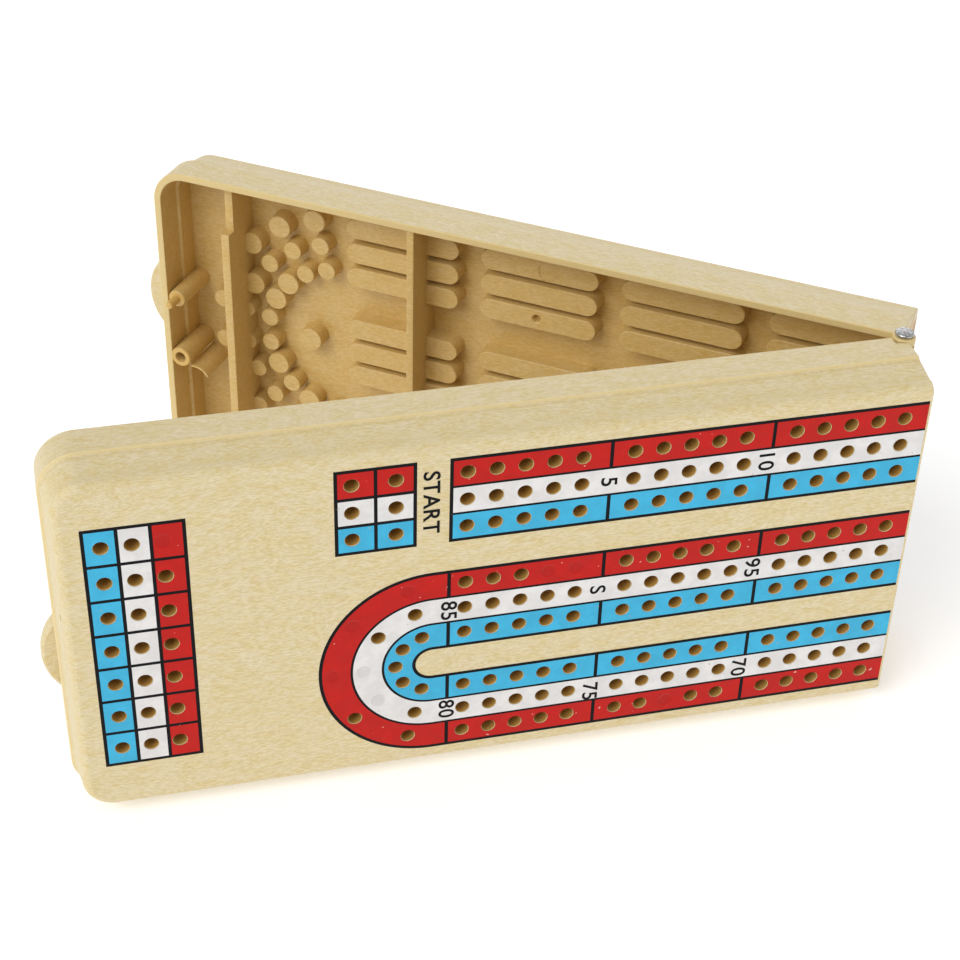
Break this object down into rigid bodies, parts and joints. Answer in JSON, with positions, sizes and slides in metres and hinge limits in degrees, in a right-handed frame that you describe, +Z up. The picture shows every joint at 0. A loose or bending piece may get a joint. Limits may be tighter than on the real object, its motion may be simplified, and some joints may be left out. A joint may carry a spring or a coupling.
{
  "type": "cribbage board",
  "caption": "Folding cribbage board: two moulded tray halves with peg holes in printed tracks, hinged at one end to close into a flat storage case.",
  "frame": {"origin": "middle of the bounding box's underside, which is the plane the board stands on when it rests on its long edges", "axes": "+Z up along the hinge axis and across the board's width; +X along the front half towards the hinge; the front half's play face looks towards -Y"},
  "size_m": [0.1974, 0.1374, 0.0908],
  "materials": {
    "tan_plastic": "satin moulded plastic with a pale streaked wood look",
    "pin_steel": "plain zinc-plated steel",
    "red_ink": "screen-printed red ink",
    "white_ink": "screen-printed white ink",
    "blue_ink": "screen-printed blue ink",
    "black_ink": "screen-printed black ink"
  },
  "bodies": {
    "front": {"front_half": "tan_plastic", "upper_hinge_pin": "pin_steel"},
    "rear": {"rear_half": "tan_plastic", "lower_hinge_pin": "pin_steel"}
  },
  "joints": [
    {"name": "fold", "type": "hinge", "parent": "front", "child": "rear", "pos_m": [0.08874, -0.05149, 0.0454], "axis": [0, 0, -1], "range_deg": [-35.9, 144.1]}
  ]
}
